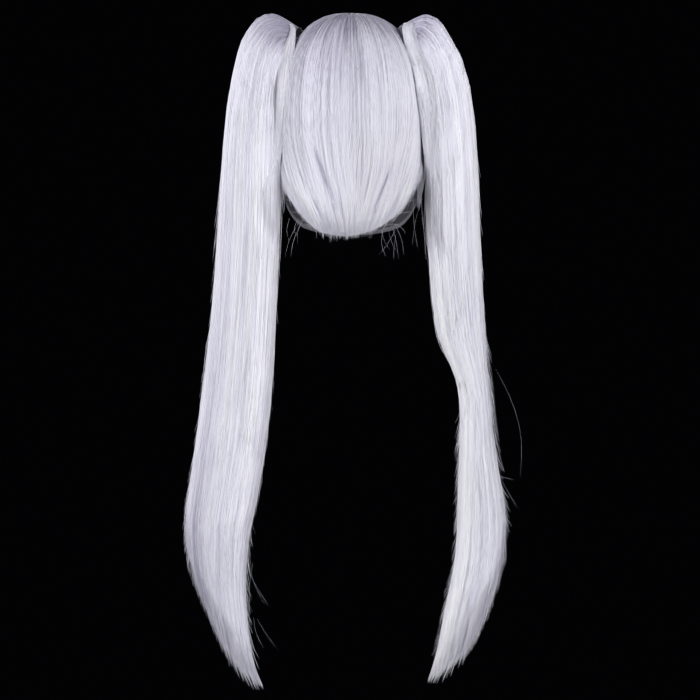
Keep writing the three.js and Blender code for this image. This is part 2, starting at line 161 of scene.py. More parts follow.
def headPoint(turn, level, side, back, top):
    # turn 0 at the back, growing towards +X; level 0 at the crown, 1 at the widest, 2 at the rim
    below = np.maximum(level - 1, 0)
    tilt = np.minimum(level, 1) * pi / 2
    spread = np.sin(tilt) ** (2 / profilePower)
    wide = (head["width"] / 2 + side) * spread * (1 - head["side taper"] * below**2)
    deep = (head["depth"] / 2 + back) * spread * (1 - head["nape taper"] * below**2)
    height = (head["rise"] + top) * np.maximum(np.cos(tilt), 0) ** (2 / profilePower)
    x = wide * bowed(np.sin(turn), 2 / planPower)
    y = deep * bowed(np.cos(turn), 2 / planPower)
    z = height - head["rise"] - below * levelFall
    return np.stack(np.broadcast_arrays(x, y, z), -1)


def hairPoint(turn, level, lift=0.0):
    return headPoint(turn, level, hairOver["side"] + lift, hairOver["back"] + lift, hairOver["top"] + lift)


def combed(turn, level):
    # the combing closes in towards the nape
    half = (turn + pi) % tau - pi
    closed = np.clip((level - gather["start"]) / (2 - gather["start"]), 0, 1) ** gather["ease"]
    return half * (1 - gather["share"] * closed * (1 - (half / pi) ** 2))


def plain(turn, level):
    return turn + 0 * level


def levelOfDrop(drop):
    return 1 + (drop - head["rise"]) / levelFall


def endLevel(turn, line, path, up=0.0):
    # the level where each path down the form meets an edge line
    levels = np.linspace(0.3, 2.2, 500)
    point = hairPoint(path(turn[:, None], levels[None]), levels[None])
    down = -(point[..., 2] - up) / head["depth of cap"]
    over = down > np.interp(point[..., 1] / (head["depth"] / 2), column(line, "back"), column(line, "down"))
    return levels[np.where(over.any(1), over.argmax(1), len(levels) - 1)]


# node maths on sockets, for shaders and geometry trees


class Socket:
    def __init__(self, tree, socket=None):
        self.tree = tree
        self.socket = socket

    def plug(self, target, value):
        if isinstance(value, Socket):
            self.tree.links.new(value.socket, target)
        else:
            target.default_value = value

    def make(self, kind, out=0, inputs=None, **settings):
        node = self.tree.nodes.new(kind)
        for name, value in settings.items():
            setattr(node, name, value)
        for name, value in (inputs or {}).items():
            self.plug(node.inputs[name], value)
        return Socket(self.tree, node.outputs[out] if len(node.outputs) else None)

    def math(self, operation, *values):
        return self.make("ShaderNodeMath", operation=operation, inputs=dict(enumerate(values)))

    def __add__(self, other):
        return self.math("ADD", self, other)

    __radd__ = __add__

    def __mul__(self, other):
        return self.math("MULTIPLY", self, other)

    __rmul__ = __mul__

    def __sub__(self, other):
        return self.math("SUBTRACT", self, other)

    def __rsub__(self, other):
        return self.math("SUBTRACT", other, self)

    def wave(self, scale):
        # 0 to 1 and back, scale times in each unit
        return self.math("PINGPONG", self * (2 * scale), 1.0)

    def noise(self, x, y, detail=2.0, rough=0.55):
        spot = self.make("ShaderNodeCombineXYZ", inputs={"X": x, "Y": y})
        inputs = {"Vector": spot, "Scale": 1.0, "Detail": detail, "Roughness": rough}
        return self.make("ShaderNodeTexNoise", noise_dimensions="2D", inputs=inputs)

    def between(self, low, high):
        inputs = {"Value": self, "From Min": low, "From Max": high}
        return self.make("ShaderNodeMapRange", interpolation_type="SMOOTHSTEP", inputs=inputs)

    def colors(self, low, high):
        # a colour between two colours or sockets
        return self.make("ShaderNodeMix", out=2, data_type="RGBA", inputs={0: self, 6: low, 7: high})

    def bumps(self, strength, distance):
        return self.make("ShaderNodeBump", inputs={"Height": self, "Strength": strength, "Distance": distance})


def newMaterial(name, color=None, **values):
    material = bpy.data.materials.new(name)
    material.use_nodes = True
    shader = material.node_tree.nodes["Principled BSDF"]
    for key, value in values.items():
        shader.inputs[key.replace("_", " ")].default_value = value
    if color:
        shader.inputs["Base Color"].default_value = color
    return material, shader, Socket(material.node_tree)


def attribute(start, name):
    return start.make("ShaderNodeAttribute", out=2, attribute_name=name)


# the tone ramp; where the tones below are lowered or raised for light and shade, its shadow and light ends
# stand for painted shade and painted light
hairColors = {
    "shadow": (0.36, 0.34, 0.45, 1),
    "middle": (0.72, 0.71, 0.81, 1),
    "light": (0.91, 0.91, 0.95, 1),
    "gloss": 0.42,
    "specular": 0.42,
}


def hairTone(tone):
    lower = (tone * 2.0).between(0.0, 1.0).colors(hairColors["shadow"], hairColors["middle"])
    return (tone * 2.0 - 1.0).between(0.0, 1.0).colors(lower, hairColors["light"])


def strandMaterial():
    gloss = hairColors["gloss"]
    material, shader, start = newMaterial("strands", Specular_IOR_Level=hairColors["specular"])
    tone = attribute(start, "tone")
    along = attribute(start, "along")
    fleck = start.noise(tone * 60.0, along * 9.0) - 0.5
    start.plug(shader.inputs["Base Color"], hairTone(tone + fleck * 0.1))
    dull = (0.4 - tone).between(0.0, 0.4) * 0.9
    start.plug(shader.inputs["Roughness"], fleck * 0.2 + gloss + dull)
    return material


def combMaterial():
    # the body of combed hair under the loose strands
    gloss = hairColors["gloss"]
    material, shader, start = newMaterial("combed", Roughness=gloss, Specular_IOR_Level=hairColors["specular"])
    across = attribute(start, "across")
    along = attribute(start, "along")
    fine = start.noise(across * 1100.0, along * 6.0, detail=3.0)
    broad = start.noise(across * 160.0, along * 2.0)
    tone = attribute(start, "tone") + (fine - 0.5) * 0.5 + (broad - 0.5) * 0.3
    start.plug(shader.inputs["Base Color"], hairTone(tone))
    start.plug(shader.inputs["Normal"], fine.bumps(0.6, 0.0006))
    return material


strands = strandMaterial()
combedBody = combMaterial()


# meshes from arrays


def signedVolume(points, triangles):
    a, b, c = (points[triangles[:, i]] for i in range(3))
    return np.einsum("ij,ij->", a, np.cross(b, c))


def meshFrom(name, points, faces, values, material):
    # faces are rows of four corners, the last two equal for a triangle
    triangles = np.concatenate([faces[:, :3], faces[:, [0, 2, 3]]])
    triangles = triangles[(triangles[:, 1] != triangles[:, 2]) & (triangles[:, 0] != triangles[:, 2])]
    if signedVolume(points, triangles) < 0:
        faces = faces[:, ::-1]
    lists = [list(dict.fromkeys(face)) for face in faces.tolist()]
    mesh = bpy.data.meshes.new(name)
    mesh.from_pydata(points.tolist(), [], lists)
    for key, value in values.items():
        mesh.attributes.new(key, "FLOAT", "POINT").data.foreach_set("value", value.astype(np.float32).ravel())
    mesh.materials.append(material)
    mesh.shade_smooth()
    piece = bpy.data.objects.new(name, mesh)
    scene.collection.objects.link(piece)
    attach(piece, "root")
    return piece


def loftFaces(rows, cols, closedRows=False):
    row = np.arange(rows if closedRows else rows - 1)[:, None]
    col = np.arange(cols)[None]
    nextRow = (row + 1) % rows
    nextCol = (col + 1) % cols
    corners = (row * cols + col, row * cols + nextCol, nextRow * cols + nextCol, nextRow * cols + col)
    return np.stack([np.broadcast_to(v, (row.size, cols)).ravel() for v in corners], 1)


def loft(grid, poles=None, offset=0):
    # a closed skin over rings of points, each end drawn to a pole, or the rows closed into a ring
    rows, cols = grid.shape[:2]
    points = grid.reshape(-1, 3)
    faces = loftFaces(rows, cols, closedRows=poles is None)
    if poles is not None:
        points = np.concatenate([points, np.array(poles, float)])
        col = np.arange(cols)
        after = (col + 1) % cols
        first = np.full(cols, rows * cols)
        last = first + 1
        base = (rows - 1) * cols
        start = np.stack([first, after, col, col], 1)
        end = np.stack([last, base + col, base + after, base + after], 1)
        faces = np.concatenate([faces, start, end])
    return points, faces + offset


def loftValues(values, shape, poles=True):
    # one value for each point of a loft, with the end rows' means for its poles
    values = np.broadcast_to(values, shape)
    flat = values.ravel()
    return np.concatenate([flat, [values[0].mean(), values[-1].mean()]]) if poles else flat


# strands swept along their paths


def strandTree():
    tree = bpy.data.node_groups.new("strands", "GeometryNodeTree")
    kinds = {"Lines": "Geometry", "Sides": "Int", "Wander": "Float", "Seed": "Float", "Material": "Material"}
    for name, kind in kinds.items():
        tree.interface.new_socket(name, in_out="INPUT", socket_type="NodeSocket" + kind)
    tree.interface.new_socket("Strands", in_out="OUTPUT", socket_type="NodeSocketGeometry")
    start = Socket(tree)
    given = tree.nodes.new("NodeGroupInput").outputs
    lines, sides, wander, seed, material = (Socket(tree, given[name]) for name in kinds)

    def named(name):
        inputs = {"Name": name}
        return start.make("GeometryNodeInputNamedAttribute", data_type="FLOAT", inputs=inputs)

    noise = start.make("ShaderNodeTexNoise", out="Color", noise_dimensions="4D",
                       inputs={"W": seed, "Scale": 14.0, "Detail": 1.0})
    centred = start.make("ShaderNodeVectorMath", operation="SUBTRACT", inputs={0: noise, 1: (0.5, 0.5, 0.5)})
    offset = start.make("ShaderNodeVectorMath", operation="SCALE",
                        inputs={0: centred, "Scale": named("loose") * wander})
    moved = start.make("GeometryNodeSetPosition", inputs={"Geometry": lines, "Offset": offset})
    curves = start.make("GeometryNodeMeshToCurve", inputs={"Mesh": moved})
    ring = start.make("GeometryNodeCurvePrimitiveCircle", inputs={"Radius": 1.0, "Resolution": sides})
    sweep = start.make("GeometryNodeCurveToMesh", inputs={
        "Curve": curves, "Profile Curve": ring, "Scale": named("thick"), "Fill Caps": True})
    smooth = start.make("GeometryNodeSetShadeSmooth", inputs={"Geometry": sweep})
    whole = start.make("GeometryNodeRealizeInstances", inputs={"Geometry": smooth})
    dressed = start.make("GeometryNodeSetMaterial", inputs={"Geometry": whole, "Material": material})
    start.make("NodeGroupOutput", inputs={"Strands": dressed})
    return tree


sweepTree = strandTree()


def strandPiece(name, bundles, wander=0.0, seed=1.0, sides=3):
    # bundles: records of paths (strands, steps, 3) with thick, tone and loose that fit their shape
    points, edges, start = [], [], 0
    values = {"thick": [], "tone": [], "along": [], "loose": []}
    for bundle in bundles:
        paths = bundle["paths"]
        count, steps = paths.shape[:2]
        first = (start + np.arange(count)[:, None] * steps + np.arange(steps - 1)).ravel()
        edges.append(np.stack([first, first + 1], 1))
        points.append(paths.reshape(-1, 3))
        bundle["along"] = np.linspace(0, 1, steps)[None]
        for key in values:
            values[key].append(np.broadcast_to(bundle.get(key, 1.0), (count, steps)).ravel())
        start += count * steps
    mesh = bpy.data.meshes.new(name)
    mesh.from_pydata(np.concatenate(points).tolist(), np.concatenate(edges).tolist(), [])
    for key, parts in values.items():
        data = np.concatenate(parts).astype(np.float32)
        mesh.attributes.new(key, "FLOAT", "POINT").data.foreach_set("value", data)
    lines = bpy.data.objects.new(name + "_lines", mesh)
    scene.collection.objects.link(lines)
    modifier = lines.modifiers.new("strands", "NODES")
    modifier.node_group = sweepTree
    wanted = {"Sides": sides, "Wander": wander, "Seed": seed, "Material": strands}
    for item in sweepTree.interface.items_tree:
        if item.in_out == "INPUT" and item.name in wanted:
            modifier[item.identifier] = wanted[item.name]
    shaped = lines.evaluated_get(bpy.context.evaluated_depsgraph_get())
    made = bpy.data.meshes.new_from_object(shaped)
    lines.modifiers.clear()
    bpy.data.objects.remove(lines)
    piece = bpy.data.objects.new(name, made)
    scene.collection.objects.link(piece)
    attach(piece, "root")
    print(name, sum(len(p.vertices) - 2 for p in made.polygons), "triangles")
    return piece


def tapered(radius, steps, root=0.5, tip=0.12):
    # a strand's radius along its length
    s = np.linspace(0, 1, steps)
    shape = mix(root, 1, ease(s, 0, 0.08)) * mix(1, tip, ease(s, 0.8, 1))
    return np.atleast_1d(radius)[:, None] * shape[None]


# crown hair

crown = {
    "strands": 1180,
    "radius": 0.0004,
    "steps": 23,
    "relief": 0.0007,  # height of its locks
    "lap": 0.0016,  # how far locks lie over each other low down
    "scatter": 0.00025,
    "edge strands": 300,
    "body turns": 220,
    "body rings": (50, 16),  # outside, inside
    "seed": 11,
}
# how far the hair runs on past its edge line; turn in degrees, growing towards +X
edgeRows = records(
    "turn past",
    (-180, 0.001),
    (-125, 0.002),
    (-60, 0.003),
    (-42, 0.007),
    (0, 0.011),
    (42, 0.013),
    (60, 0.018),
    (112, 0.019),
    (132, 0.003),
    (180, 0.001),
)
# grooves between locks; turns in degrees where each begins and ends, from and to as levels; tone: painted
# shade down the groove
partings = records(
    "turn end from to width depth tone",
    (33, 7, 1.06, 1.85, 3.6, 0.0018, 0.42),
    (-33, -14, 1.3, 1.87, 1.8, 0.0016, 0.48),
    (-15, -10, 1.35, 1.65, 1.1, 0.0008, 0.2),
    (47, 18, 1.3, 1.95, 1.6, 0.0009, 0.14),
    (-52, -24, 1.35, 1.95, 1.6, 0.0009, 0.14),
    (3, 4, 0.3, 0.62, 0.8, 0.0008, 0.24),
    (-7, -8, 0.5, 0.85, 0.8, 0.0008, 0.22),
    (-20, -23, 0.66, 1.0, 0.9, 0.0008, 0.18),
    (18, 20, 0.45, 0.7, 0.8, 0.0008, 0.2),
    (84, 80, 0.5, 1.3, 1.3, 0.001, 0.26),
    (91, 88, 0.6, 1.2, 1.1, 0.0009, 0.22),
    (-83, -79, 0.5, 1.3, 1.3, 0.001, 0.26),
    (-92, -88, 0.6, 1.2, 1.1, 0.0009, 0.22),
)


def crownRelief(turn, level):
    return 0.5 * ripple(turn * 11 + 90, level * 1.3, 3) + 0.5 * ripple(turn * 30 + 200, level * 2.2, 4)


def groove(turn, level, kind):
    # turn is the place on the form, in radians
    total = 0.0
    for row in partings:
        share = (level - row["from"]) / (row["to"] - row["from"])
        middle = mix(row["turn"], row["end"], np.clip(share, 0, 1))
        total = total + row[kind] * bump(np.degrees(turn), middle, row["width"]) * ease(share, 0, 0.25) * (
            1 - ease(share, 0.75, 1))
    return total


def crownTone(turn, level, place):
    tone = 0.64 + 0.06 * drift(turn * 13 + 300, 5) + 0.08 * ripple(turn * 32 + 500, level * 2.4, 6)
    tone = tone + 0.09 * ripple(turn * 75 + 60, level * 4.2 + 30, 7) + 0.08 * ease(level, 1.4, 1.8)
    # painted shade: greyer towards the top and darker in short gaps between strands, most of all at the back;
    # the gaps also stand for the dark net showing through thin hair
    top = 0.04 * (1 - ease(level, 0.08, 0.34)) + 0.14 * (1 - ease(level, 0.2, 0.65))
    top = top + 0.27 * (1 - ease(level, 0.6, 1.2))
    gaps = np.maximum(ripple(turn * 56 + 100, level * 2.4, 8) - 0.06, 0)
    top = top + 1.15 * gaps * (1 - ease(level, 0.24, 0.56))
    share = mix(1.0, 0.3 + 0.7 * ease(np.cos(turn), -0.4, 0.3), ease(level, 0.14, 0.34))
    # and painted shade down the grooves between locks
    return tone - top * share - groove(place, level, "tone")


def pastEdge(turn):
    past = np.interp(np.degrees(turn), column(edgeRows, "turn"), column(edgeRows, "past"))
    return past / levelFall


def crownLaps(turn, level):
    # locks that swing across each other towards the nape
    return 0.055 * ripple(turn * 5 + 20, level * 1.6, 13) * ease(level, 0.9, 1.5)


def makeCrown():
    rng = np.random.default_rng(crown["seed"])
    turns = np.linspace(-pi, pi, crown["body turns"], endpoint=False)
    end = endLevel(turns, hairLine, combed) + 0.75 * pastEdge(turns)
    outer, under = crown["body rings"]
    share = np.concatenate([np.linspace(0.03, 1, outer), np.linspace(0.99, 0.04, under)])
    level = share[:, None] * end[None]
    inner = (np.arange(len(share)) >= outer)[:, None]
    place = combed(turns[None], level)
    depth = -0.0009 + crown["relief"] * crownRelief(turns[None], level) - groove(place, level, "depth")
    outside = hairPoint(place, level, depth - 0.0012 * ease(share, 0.93, 1)[:, None])
    inside = headPoint(place, level, 0.0024, 0.0024, 0.0024)
    grid = np.where(inner[..., None], inside, outside)
    points, faces = loft(grid, [(0, 0, hairOver["top"] - 0.0014), (0, 0, 0.0024)])
    # painted shade: the body under the strands is darker, on its inside most of all and towards the top, so
    # the gaps between strands read as shade
    dark = np.where(inner, 0.3, 0.12 + 0.2 * (1 - ease(level, 0.4, 0.8)))
    values = {
        "tone": loftValues(crownTone(turns[None], level, place) - dark, level.shape),
        "across": loftValues(turns[None] * 0.08, level.shape),
        "along": loftValues(level, level.shape),
    }
    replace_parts(meshFrom("crown_hair_body", points, faces, values, combedBody), "crown_hair")

    count = crown["strands"]
    turn = -pi + (np.arange(count) + rng.uniform(0, 1, count)) / count * tau
    turn = turn - 0.22 * np.sin(turn)  # more of them at the back
    clump = 0.5 + 0.5 * drift(turn * 15 + 400, 12)
    end = endLevel(turn, hairLine, combed)
    end = end + pastEdge(turn) * (0.55 + 0.3 * clump + 0.35 * rng.uniform(0, 1, count) ** 2)
    start = rng.uniform(0.012, 0.3, count)
    level = mix(start[:, None], end[:, None], np.linspace(0, 1, crown["steps"])[None])
    way = turn[:, None] + 0.014 * drift(level * 2.2 + turn[:, None] * 37, 9) * ease(level, 0.1, 0.6)
    way = way + crownLaps(turn[:, None], level)
    place = combed(way, level)
    lift = crown["relief"] * crownRelief(turn[:, None], level)
    lift = lift + rng.uniform(-1, 1, (count, 1)) * crown["scatter"]
    lift = lift + crown["lap"] * 0.5 * drift(turn * 7 + 11, 14)[:, None] * ease(level, 1.0, 1.5)
    lift = lift - groove(place, level, "depth") - 0.0004
    tone = crownTone(turn[:, None], level, place) + rng.uniform(-0.06, 0.06, (count, 1))
    thick = tapered(crown["radius"] * rng.uniform(0.7, 1.25, count), crown["steps"])
    bundle = {"paths": hairPoint(place, level, lift), "thick": thick, "tone": tone}
    strandPiece("crown_hair_strands", [bundle])

    # thin ones that lie out over the net and the hem
    count, steps = crown["edge strands"], 12
    turn = np.radians(rng.uniform(-128, 128, count))
    end = endLevel(turn, hairLine, combed)[:, None]
    far = rng.uniform(0.0, 1.0, count) ** 1.3 * mix(0.02, 0.005, bump(np.degrees(turn), 0, 65))
    stop = end + (pastEdge(turn) * 0.7 + far / levelFall)[:, None]
    level = mix(end - 0.25, stop, np.linspace(0, 1, steps)[None])
    over = ease(level, end, end + 0.2)
    way = turn[:, None] + 0.05 * drift(level * 3 + turn[:, None] * 50, 15) * over
    lift = -0.0002 - over * rng.uniform(0.001, 0.0045, (count, 1))
    thick = tapered(rng.uniform(0.00006, 0.00014, count), steps)
    paths = hairPoint(combed(way, level), level, lift)
    strandPiece("crown_hair_edge", [{"paths": paths, "thick": thick, "tone": 0.5}], wander=0.0015, seed=5.0)


makeCrown()
print("crown hair made")

# tails

tailRoot = {
    "x": 0.0600,
    "z": -0.01245,
    "back": 0.008,
    "radius": 0.0082,
    "across": (-0.578, 0.816),  # the tie's high side, seen from the back
    "out": (0.816, 0.578),
}
# rings from the tie over the arch. over, up: of the outer side, as shares of the way to the first
# section and to the arch's top. fall: of the inner side, share of its way down. thick: as below
archRows = records(
    "over up fall thick",
    (0.0, 0.0, 0.0, 0.39),
    (0.127, 0.49, 0.12, 0.5),
    (0.355, 0.876, 0.27, 0.64),
    (0.6, 1.0, 0.43, 0.75),
    (0.85, 0.69, 0.58, 0.82),
    (1.0, 0.157, 0.72, 0.87),
    (1.15, -0.53, 0.86, 0.91),
)
# sections down a tail. drop: share of its length. near, far: edges, as shares of its reach.
# back: share of its sweep. thick: share of its thickness
leftRows = records(
    "drop near far back thick",
    (0.064, 0.365, 0.667, 0.5, 0.93),
    (0.12, 0.408, 0.716, 0.54, 0.97),
    (0.205, 0.41, 0.755, 0.61, 1),
    (0.32, 0.418, 0.79, 0.7, 1),
    (0.435, 0.445, 0.83, 0.81, 1),
    (0.523, 0.465, 0.877, 0.9, 1),
    (0.612, 0.503, 0.929, 0.98, 1),
    (0.703, 0.567, 0.984, 1, 0.95),
    (0.749, 0.609, 1, 1, 0.88),
    (0.811, 0.639, 0.975, 1, 0.76),
    (0.86, 0.64, 0.932, 1, 0.62),
    (0.915, 0.625, 0.882, 0.98, 0.42),
    (0.95, 0.6, 0.85, 0.97, 0.3),
    (0.975, 0.573, 0.825, 0.97, 0.2),
    (1.0, 0.53, 0.8, 0.97, 0.1),
)
rightRows = records(
    "drop near far back thick",
    (0.061, 0.369, 0.66, 0.46, 0.93),
    (0.116, 0.419, 0.724, 0.41, 0.97),
    (0.199, 0.447, 0.761, 0.32, 1),
    (0.313, 0.465, 0.789, 0.08, 1),
    (0.42, 0.51, 0.825, -0.28, 1.02),
    (0.465, 0.556, 0.842, -0.4, 1.08),
    (0.503, 0.632, 0.851, -0.52, 1.14),
    (0.545, 0.69, 0.874, -0.65, 1.15),
    (0.615, 0.693, 0.908, -0.82, 1.1),
    (0.708, 0.684, 0.984, -0.91, 0.98),
    (0.755, 0.685, 1, -0.94, 0.88),
    (0.819, 0.668, 0.98, -0.97, 0.76),
    (0.872, 0.62, 0.94, -0.99, 0.64),
    (0.925, 0.585, 0.893, -0.98, 0.42),
    (0.955, 0.555, 0.87, -0.97, 0.3),
    (0.978, 0.528, 0.845, -0.97, 0.2),
    (1.0, 0.492, 0.82, -0.97, 0.1),
)
# where the strands end along the slanting cut. from: place across the tail
cutRows = records(
    "from left right",
    (0.0, 1.0, 1.0),
    (0.2, 0.989, 0.991),
    (0.4, 0.974, 0.976),
    (0.6, 0.95, 0.96),
    (0.8, 0.9, 0.918),
    (0.9, 0.862, 0.88),
    (1.0, 0.8, 0.81),
)
# length, reach, thick, sweep: in metres; the sections are shares of them. first: where the arch's outer
# side comes down, as a share of the reach. sleeve: how full it is on the tie's two sides. window: where
# the tie shows through it, in degrees. fall: slope of the side strands. dip, inner: hollows of the arch
# low shade, edge shade: painted shade low down and in a band beside the outer edge
tails = {
    "left": {
        "rows": leftRows, "side": 1, "seed": 21,
        "arch": 0.012, "length": 0.751, "reach": 0.184, "thick": 0.042, "sweep": 0.040, "first": 0.586,
        "sleeve high": 0.8, "sleeve low": 1.1, "window": (30, 86), "fall": 0.6, "dip": 0.16, "inner": 0.0015,
        "low shade": 0.15, "edge shade": 0.17, "tone": -0.01,
    },
    "right": {
        "rows": rightRows, "side": -1, "seed": 22,
        "arch": 0.011, "length": 0.771, "reach": 0.180, "thick": 0.042, "sweep": 0.030, "first": 0.558,
        "sleeve high": 1.02, "sleeve low": 1.3, "window": None, "fall": 1.05, "dip": 0.04, "inner": 0.004,
        "low shade": 0.01, "edge shade": 0.07, "tone": 0.08,
    },
}
tailHair = {
    "strands": 860,
    "steps": 24,
    "radius": 0.00036,
    "relief": 0.0010,
    "scatter": 0.00025,
    "ends": 760,
    "sleeve": 190,
    "side strands": 220,
    "loose": 90,
    "body turns": 150,
    "body rings": 90,
    "wander": 0.0016,
}
tailPower = 2.3
# the sleeve of hair over a tie, along the root's direction from the tie's middle
sleeveRows = records(
    "out radius",
    (-0.0095, 0.0088),
    (-0.0055, 0.012),
    (-0.0005, 0.013),
    (0.005, 0.0126),
)
# strands from a tie down between the crown hair and the tail: middles, and how far they reach
# inwards and outwards from there
sideRows = {
    "left": records(
        "x y z in out",
        (0.064, 0.019, 0.001, 0.002, 0.002),
        (0.0613, 0.0262, -0.006, 0.0026, 0.0026),
        (0.0646, 0.032, -0.0215, 0.0052, 0.0052),
        (0.0674, 0.038, -0.0392, 0.007, 0.007),
        (0.0697, 0.044, -0.058, 0.007, 0.007),
        (0.072, 0.045, -0.0789, 0.0062, 0.0062),
        (0.0746, 0.04, -0.1052, 0.005, 0.005),
        (0.0785, 0.038, -0.1422, 0.0034, 0.0034),
    ),
    "right": records(
        "x y z in out",
        (0.0645, 0.019, 0.002, 0.008, 0.008),
        (0.0625, 0.0285, -0.006, 0.0082, 0.0105),
        (0.0655, 0.0335, -0.0215, 0.0082, 0.011),
        (0.0715, 0.0385, -0.0392, 0.0088, 0.0105),
        (0.0762, 0.043, -0.058, 0.0092, 0.0115),
        (0.08, 0.0415, -0.0789, 0.0095, 0.0105),
        (0.0826, 0.036, -0.1052, 0.0085, 0.007),
        (0.0848, 0.03, -0.1422, 0.0055, 0.006),
    ),
}
# single hairs off the outline. turn: degrees from the outer edge. from, to: where they leave it and
# long: how far they run, as shares of the tail's length. out: how far they stand off
flyaways = {
    "left": records(
        "turn from to long out count thick",
        (8, 0.17, 0.22, 0.12, 0.004, 5, 0.00015),
        (4, 0.2, 0.5, 0.06, 0.003, 14, 0.0001),
        (4, 0.5, 0.7, 0.05, 0.003, 30, 0.00009),
        (4, 0.68, 0.93, 0.03, 0.004, 110, 0.00008),
        (178, 0.3, 0.7, 0.05, 0.003, 24, 0.0001),
        (178, 0.7, 0.92, 0.045, 0.006, 70, 0.00008),
    ),
    "right": records(
        "turn from to long out count thick",
        (5, 0.18, 0.26, 0.1, 0.004, 5, 0.00015),
        (4, 0.3, 0.45, 0.06, 0.003, 12, 0.0001),
        (3, 0.44, 0.6, 0.07, 0.007, 44, 0.0001),
        (2, 0.45, 0.52, 0.13, 0.006, 16, 0.00012),
        (4, 0.58, 0.74, 0.025, 0.007, 30, 0.00008),
        (4, 0.7, 0.94, 0.03, 0.004, 110, 0.00008),
        (177, 0.56, 0.66, 0.05, 0.006, 40, 0.0001),
        (179, 0.68, 0.92, 0.04, 0.005, 90, 0.00008),
    ),
}
# longer ones that leave the outline for good: start and end in metres
strays = records(
    "start end bow count",
    ((0.112, 0.04, -0.655), (0.09, 0.042, -0.7), 0.003, 2),
    ((0.114, 0.04, -0.59), (0.105, 0.04, -0.64), 0.002, 3),
    ((-0.072, 0.046, -0.175), (-0.079, 0.04, -0.25), 0.003, 5),
    ((-0.036, 0.078, -0.214), (-0.043, 0.074, -0.244), 0.002, 4),
    ((-0.048, 0.068, -0.205), (-0.053, 0.066, -0.236), -0.002, 4),
    ((0.052, 0.066, -0.2), (0.055, 0.064, -0.236), 0.003, 5),
    ((-0.176, -0.022, -0.5), (-0.184, -0.022, -0.528), 0.001, 2),
    ((-0.162, -0.01, -0.378), (-0.184, -0.01, -0.492), -0.014, 1),
)


def tailFrames(tail):
    # the two edges, middle depth and half thickness of each ring from the tie to the tip
    root = tailRoot
    lean = root["across"]
    high = [root["x"] + lean[0] * root["radius"], root["z"] + lean[1] * root["radius"]]
    low = [root["x"] - lean[0] * root["radius"], root["z"] - lean[1] * root["radius"]]
    rows = tail["rows"]
    nearX = column(rows, "near") * tail["reach"]
    farX = column(rows, "far") * tail["reach"]
    z = tail["arch"] - column(rows, "drop") * tail["length"]
    back = column(rows, "back") * tail["sweep"]
    over, up, fall = (column(archRows, name) for name in ("over", "up", "fall"))
    up = up - tail["dip"] * bump(over, 0.2, 0.18)
    thick = np.concatenate([column(archRows, "thick"), column(rows, "thick")])
    return {
        "lowX": np.concatenate([mix(low[0], nearX[0], fall) - tail["inner"] * np.sin(fall * pi), nearX]),
        "lowZ": np.concatenate([mix(low[1], z[0], fall), z]),
        "highX": np.concatenate([mix(high[0], tail["first"] * tail["reach"], over), farX]),
        "highZ": np.concatenate([mix(high[1], tail["arch"], up), z]),
        "back": np.concatenate([mix(root["back"], back[0], fall), back]),
        "thick": thick * tail["thick"] / 2,
    }


def placeOfDrop(tail, drop):
    drops = np.concatenate([column(archRows, "fall") * tail["rows"][0]["drop"], column(tail["rows"], "drop")])
    return np.interp(drop, drops, np.arange(len(drops)))


def tailPoint(tail, turn, place, lift=0.0, inward=1.0):
    # turn 0 on the outer edge, a quarter turn at the back
    rings = tailFrames(tail)
    names = ("lowX", "lowZ", "highX", "highZ", "back", "thick")
    lowX, lowZ, highX, highZ, back, thick = (smoothRows(rings[name], place) for name in names)
    half = np.hypot(highX - lowX, highZ - lowZ) / 2
    across = bowed(np.cos(turn), 2 / tailPower) * inward * (1 + lift / half)
    depth = bowed(np.sin(turn), 2 / tailPower) * inward * (thick + lift)
    x = (lowX + highX) / 2 + across * (highX - lowX) / 2
    z = (lowZ + highZ) / 2 + across * (highZ - lowZ) / 2
    return np.stack(np.broadcast_arrays(tail["side"] * x, back + depth, z), -1)


def acrossOf(turn):
    return (1 + bowed(np.cos(turn), 2 / tailPower)) / 2


def cutAt(name, across):
    return np.interp(across, column(cutRows, "from"), column(cutRows, name))


def tailRelief(tail, turn, place):
    broad = ripple(turn * 5 + 40, place * 0.22, tail["seed"])
    return 0.6 * broad + 0.4 * ripple(turn * 14 + 80, place * 0.35, tail["seed"] + 1)


def tailTone(tail, turn, place):
    seed = tail["seed"]
    vary = 0.1 * drift(turn * 7 + 30, seed + 2) + 0.13 * ripple(turn * 15 + 70, place * 0.4, seed + 3)
    vary = vary + 0.1 * ripple(turn * 40 + 50, place * 0.7, seed + 4)
    tone = 0.68 + tail["tone"] + vary * (0.45 + 0.55 * ease(place, 2, 8))
    # painted shade: greyer low down, most of all beside the outer edge, and darker on the outer side than the
    # inner
    across = acrossOf(turn)
    low = ease(place, 12, 17)
    tone = tone + 0.16 * (0.5 - across) * ease(place, 5, 10)
    tone = tone - tail["low shade"] * low - tail["edge shade"] * bump(across, 0.84, 0.15) * ease(place, 8.5, 12)
    # and painted shade, much darker, over the arch near the tie
    return tone - 0.6 * (1 - ease(place, 2, 9.5))


